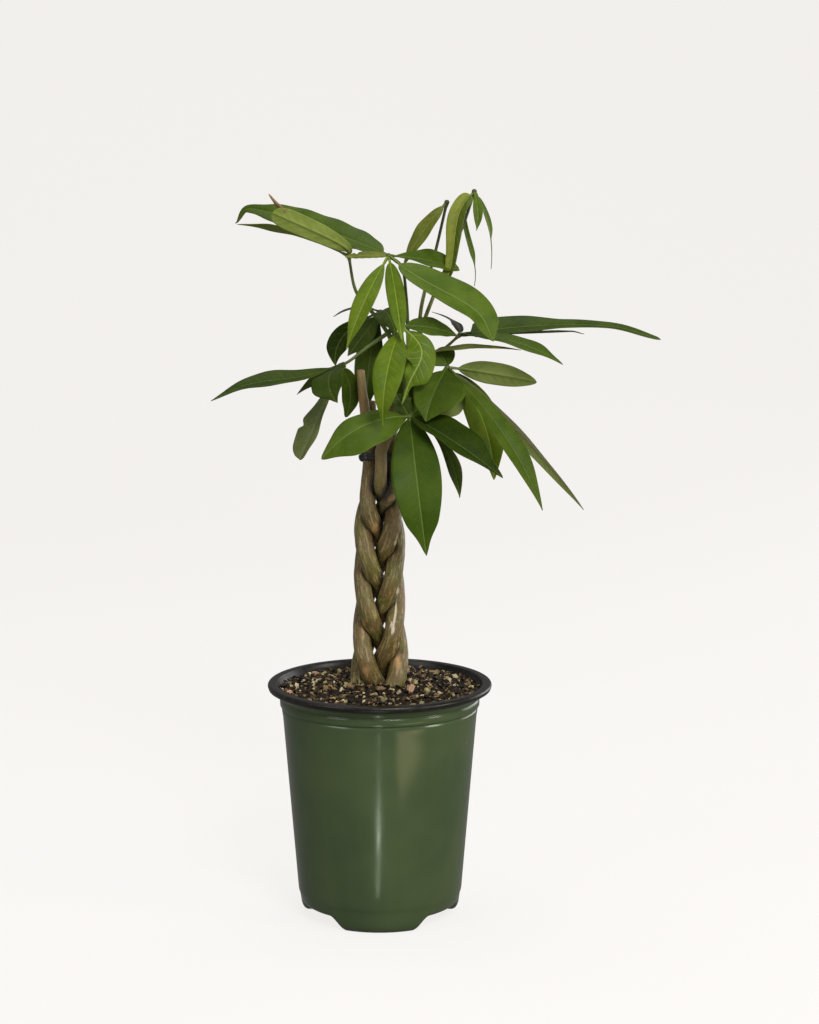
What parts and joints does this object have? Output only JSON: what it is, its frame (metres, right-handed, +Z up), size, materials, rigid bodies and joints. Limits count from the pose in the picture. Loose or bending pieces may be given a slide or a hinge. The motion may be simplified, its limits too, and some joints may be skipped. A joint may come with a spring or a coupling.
{
  "type": "potted money tree",
  "caption": "Braided-trunk money tree with palmate leaves on long stalks, growing in a round tapered plastic nursery pot filled with soil.",
  "frame": {"origin": "centre of the pot's underside, on the surface that it stands on", "axes": "+Z up along the pot's axis, -Y towards the front, +X to the right seen from the front"},
  "size_m": [0.3254, 0.165, 0.5362],
  "materials": {
    "pot": "satin green moulded plastic with a black lip",
    "soil": "loose dark potting mix with bark chips and white grains",
    "bark": "smooth olive-brown young bark, slightly glossy",
    "tie": "black plastic tie",
    "petiole": "smooth green leaf stalk",
    "leaf": "satin green leaf blade with pale veins"
  },
  "bodies": {
    "root": {"pot": "pot", "soil": "soil", "tie_band": "tie", "stem_left": "bark", "stem_front": "bark", "stem_right": "bark", "stem_back_right": "bark", "stem_back_left": "bark", "petiole_a": "petiole", "petiole_b": "petiole", "petiole_c": "petiole", "petiole_d": "petiole", "petiole_e": "petiole", "petiole_f": "petiole", "petiole_g": "petiole", "petiole_h": "petiole", "petiole_i": "petiole", "petiole_j": "petiole", "petiole_k": "petiole", "leaflet_a1": "leaf", "leaflet_a2": "leaf", "leaflet_a3": "leaf", "leaflet_a4": "leaf", "leaflet_a5": "leaf", "leaflet_b1": "leaf", "leaflet_b2": "leaf", "leaflet_c1": "leaf", "leaflet_d1": "leaf", "leaflet_d2": "leaf", "leaflet_d3": "leaf", "leaflet_d4": "leaf", "leaflet_e1": "leaf", "leaflet_e2": "leaf", "leaflet_e3": "leaf", "leaflet_e4": "leaf", "leaflet_f1": "leaf", "leaflet_g1": "leaf", "leaflet_g2": "leaf", "leaflet_g3": "leaf", "leaflet_h1": "leaf", "leaflet_h2": "leaf", "leaflet_h3": "leaf", "leaflet_h4": "leaf", "leaflet_h5": "leaf", "leaflet_i1": "leaf", "leaflet_i2": "leaf", "leaflet_i3": "leaf", "leaflet_i4": "leaf", "leaflet_j1": "leaf", "leaflet_j2": "leaf", "leaflet_j3": "leaf", "leaflet_j4": "leaf", "leaflet_j5": "leaf", "leaflet_k1": "leaf", "leaflet_k2": "leaf", "leaflet_k3": "leaf", "leaflet_k4": "leaf", "leaflet_k5": "leaf"}
  },
  "joints": []
}
